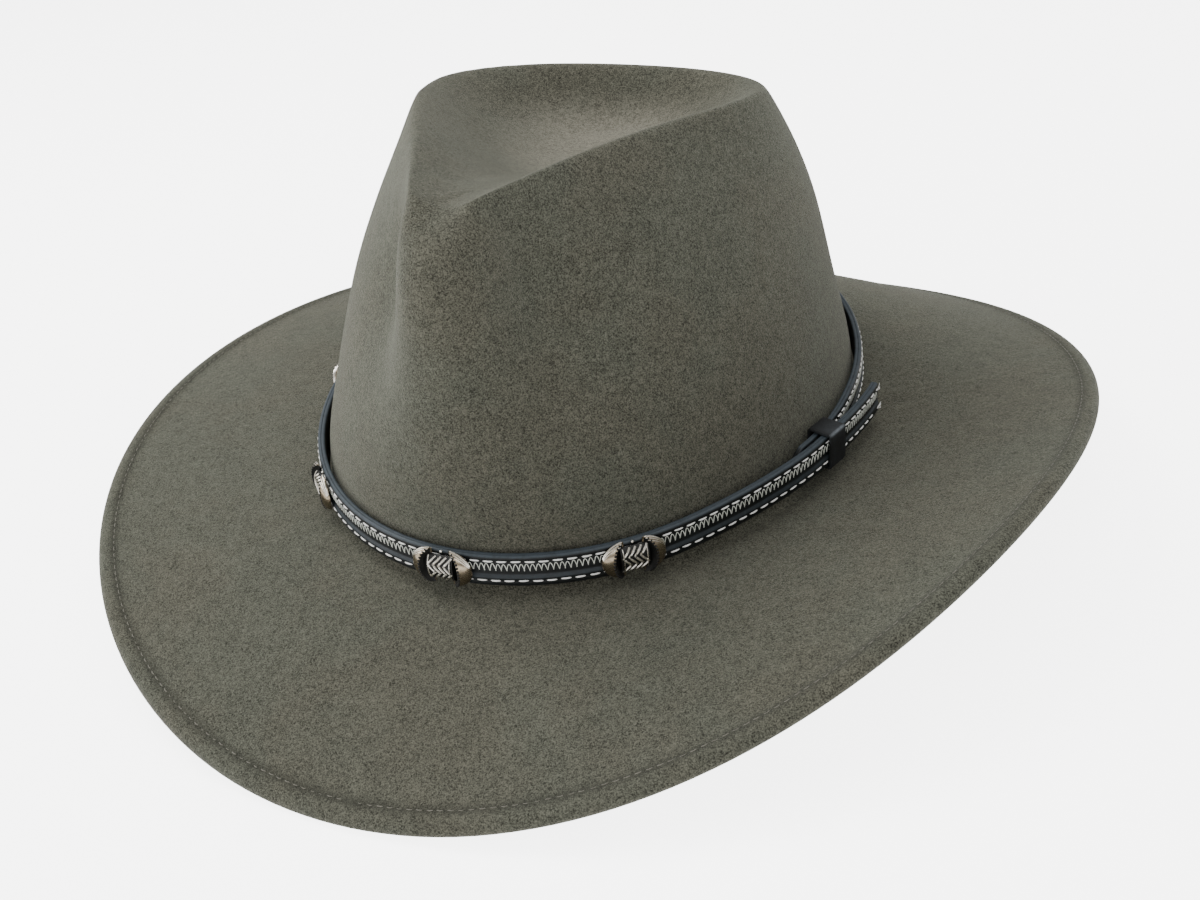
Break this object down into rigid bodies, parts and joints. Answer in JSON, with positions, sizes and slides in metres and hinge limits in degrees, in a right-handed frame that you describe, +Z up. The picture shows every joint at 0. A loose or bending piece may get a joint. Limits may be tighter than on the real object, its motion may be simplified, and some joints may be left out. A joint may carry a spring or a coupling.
{
  "type": "felt hat",
  "caption": "Wide-brimmed wool felt hat with a pinched teardrop crown, turned brim edge and stitched black leather band with silver conchos.",
  "frame": {"origin": "bottom of the brim where the hat rests on the floor, under the middle of the hat's box", "axes": "+Z up, -Y to the front of the hat, +X to the wearer's left"},
  "size_m": [0.3142, 0.3425, 0.1369],
  "materials": {
    "felt": "matte brushed wool felt, olive grey",
    "band_leather": "smooth black leather, slight bluish sheen",
    "keeper_leather": "matte black leather",
    "silver": "antique silver with blackened recesses"
  },
  "bodies": {
    "root": {"felt_body": "felt", "band_backing": "band_leather", "band_face": "band_leather", "band_keeper": "keeper_leather", "concho_right_side": "silver", "concho_front_right": "silver", "concho_front_centre": "silver", "concho_front_left": "silver"}
  },
  "joints": []
}
